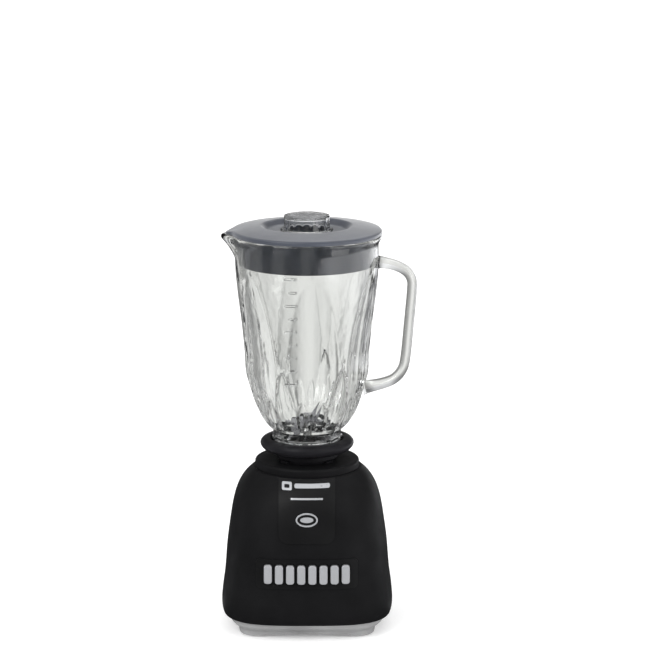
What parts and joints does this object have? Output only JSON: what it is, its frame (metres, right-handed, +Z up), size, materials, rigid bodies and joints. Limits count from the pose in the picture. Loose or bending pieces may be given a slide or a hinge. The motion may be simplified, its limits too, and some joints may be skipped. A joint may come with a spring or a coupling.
{
  "type": "countertop blender",
  "caption": "Countertop blender: black motor base with a row of piano keys, fluted glass jug with a handle and spout, screw-on blade unit, lid and clear filler cap.",
  "frame": {"origin": "middle of the underside of the whole blender's box, on the table under the feet; the drive axis stands at x = -10.4 mm", "axes": "+Z up along the drive axis, -Y towards the keys and the user, +X towards the jug's handle, -X towards the spout"},
  "size_m": [0.167, 0.1479, 0.3538],
  "materials": {
    "black_plastic": "satin black moulded plastic with a fine grain",
    "grey_plastic": "light grey moulded plastic",
    "foot_rubber": "matt rubber",
    "zinc_steel": "zinc plated steel",
    "black_gloss": "smooth black plastic",
    "silver_trim": "satin silver trim",
    "key_plastic": "silver grey painted plastic",
    "phenolic": "dark moulded phenolic",
    "film_case": "yellow capacitor case",
    "gland_rubber": "black rubber",
    "bearing_steel": "ground steel",
    "lamination_iron": "stacked laminations",
    "enamelled_copper": "enamelled copper wire",
    "commutator_copper": "turned copper",
    "carbon": "carbon block",
    "fan_plastic": "moulded nylon",
    "coupling_steel": "bright plated steel",
    "collar_plastic": "black moulded plastic",
    "stainless": "satin stainless steel",
    "blade_steel": "ground stainless steel",
    "bronze": "sintered bronze",
    "seal_rubber": "dark grey rubber",
    "jar_glass": "clear pressed glass",
    "lid_plastic": "blue grey soft plastic",
    "clear_plastic": "clear moulded plastic"
  },
  "bodies": {
    "base": {"base_housing": "black_plastic", "base_tray": "grey_plastic", "rubber_feet": "foot_rubber", "tray_screws": "zinc_steel", "trim_plate": "black_gloss", "name_bar": "silver_trim", "accent_line": "silver_trim", "badge_ring": "silver_trim", "badge_centre": "silver_trim", "key_bezel": "black_gloss", "switch_body": "phenolic", "cord_gland": "gland_rubber", "suppressor": "film_case", "upper_motor_plate": "zinc_steel", "lower_motor_plate": "zinc_steel", "upper_bearing": "bearing_steel", "lower_bearing": "bearing_steel", "stator_core": "lamination_iron", "field_coils": "enamelled_copper", "brush_holders": "phenolic", "carbon_brushes": "carbon", "brush_springs": "bearing_steel", "stator_bolts": "zinc_steel", "rubber_mounts": "foot_rubber", "mount_screws": "zinc_steel"},
    "motor_rotor": {"motor_shaft": "bearing_steel", "armature_core": "lamination_iron", "armature_windings": "enamelled_copper", "commutator": "commutator_copper", "cooling_fan": "fan_plastic", "slinger": "gland_rubber", "drive_coupling": "coupling_steel"},
    "collar": {"locking_collar": "collar_plastic"},
    "blade_unit": {"blade_disc": "stainless", "blade_hub": "stainless", "hub_bushing": "bronze", "hub_nut": "stainless"},
    "blades": {"blade_shaft": "stainless", "blade_spacer": "stainless", "lower_blade": "blade_steel", "upper_blade": "blade_steel", "blade_nut": "stainless"},
    "gasket": {"gasket": "seal_rubber"},
    "jar": {"glass_jar": "jar_glass"},
    "lid": {"lid": "lid_plastic"},
    "cap": {"filler_cap": "clear_plastic"},
    "key_1": {"speed_key_1": "key_plastic"},
    "key_2": {"speed_key_2": "key_plastic"},
    "key_3": {"speed_key_3": "key_plastic"},
    "key_4": {"speed_key_4": "key_plastic"},
    "key_5": {"speed_key_5": "key_plastic"},
    "key_6": {"speed_key_6": "key_plastic"},
    "key_7": {"speed_key_7": "key_plastic"},
    "key_8": {"speed_key_8": "key_plastic"}
  },
  "joints": [
    {"name": "motor_spin", "type": "hinge", "parent": "base", "child": "motor_rotor", "pos_m": [-0.0104, 0, 0.09], "axis": [0, 0, 1], "continuous": true},
    {"name": "jug_lift", "type": "slide", "parent": "base", "child": "collar", "axis": [0, 0, 1], "range_m": [0, 0.0191]},
    {"name": "blade_unit_lift", "type": "slide", "parent": "collar", "child": "blade_unit", "axis": [0, 0, 1], "range_m": [0, 0.0267]},
    {"name": "blade_spin", "type": "hinge", "parent": "blade_unit", "child": "blades", "pos_m": [-0.0104, 0, 0.16], "axis": [0, 0, 1], "continuous": true},
    {"name": "gasket_lift", "type": "slide", "parent": "blade_unit", "child": "gasket", "axis": [0, 0, 1], "range_m": [0, 0.0434]},
    {"name": "jar_lift", "type": "slide", "parent": "gasket", "child": "jar", "axis": [0, 0, 1], "range_m": [0, 0.0158]},
    {"name": "lid_lift", "type": "slide", "parent": "jar", "child": "lid", "axis": [0, 0, 1], "range_m": [0, 0.0414]},
    {"name": "cap_lift", "type": "slide", "parent": "lid", "child": "cap", "axis": [0, 0, 1], "range_m": [0, 0.0279]},
    {"name": "speed_key_1", "type": "slide", "parent": "base", "child": "key_1", "axis": [0, -0.9949, 0.1011], "range_m": [-0.003, 0], "stiffness_N_per_m": 300, "springref_m": 0.003},
    {"name": "speed_key_2", "type": "slide", "parent": "base", "child": "key_2", "axis": [0, -0.9949, 0.1011], "range_m": [-0.003, 0], "stiffness_N_per_m": 300, "springref_m": 0.003},
    {"name": "speed_key_3", "type": "slide", "parent": "base", "child": "key_3", "axis": [0, -0.9949, 0.1011], "range_m": [-0.003, 0], "stiffness_N_per_m": 300, "springref_m": 0.003},
    {"name": "speed_key_4", "type": "slide", "parent": "base", "child": "key_4", "axis": [0, -0.9949, 0.1011], "range_m": [-0.003, 0], "stiffness_N_per_m": 300, "springref_m": 0.003},
    {"name": "speed_key_5", "type": "slide", "parent": "base", "child": "key_5", "axis": [0, -0.9949, 0.1011], "range_m": [-0.003, 0], "stiffness_N_per_m": 300, "springref_m": 0.003},
    {"name": "speed_key_6", "type": "slide", "parent": "base", "child": "key_6", "axis": [0, -0.9949, 0.1011], "range_m": [-0.003, 0], "stiffness_N_per_m": 300, "springref_m": 0.003},
    {"name": "speed_key_7", "type": "slide", "parent": "base", "child": "key_7", "axis": [0, -0.9949, 0.1011], "range_m": [-0.003, 0], "stiffness_N_per_m": 300, "springref_m": 0.003},
    {"name": "speed_key_8", "type": "slide", "parent": "base", "child": "key_8", "axis": [0, -0.9949, 0.1011], "range_m": [-0.003, 0], "stiffness_N_per_m": 300, "springref_m": 0.003}
  ],
  "couplings": [
    {"joint": "blade_spin", "follows": "motor_spin", "ratio": 1}
  ]
}
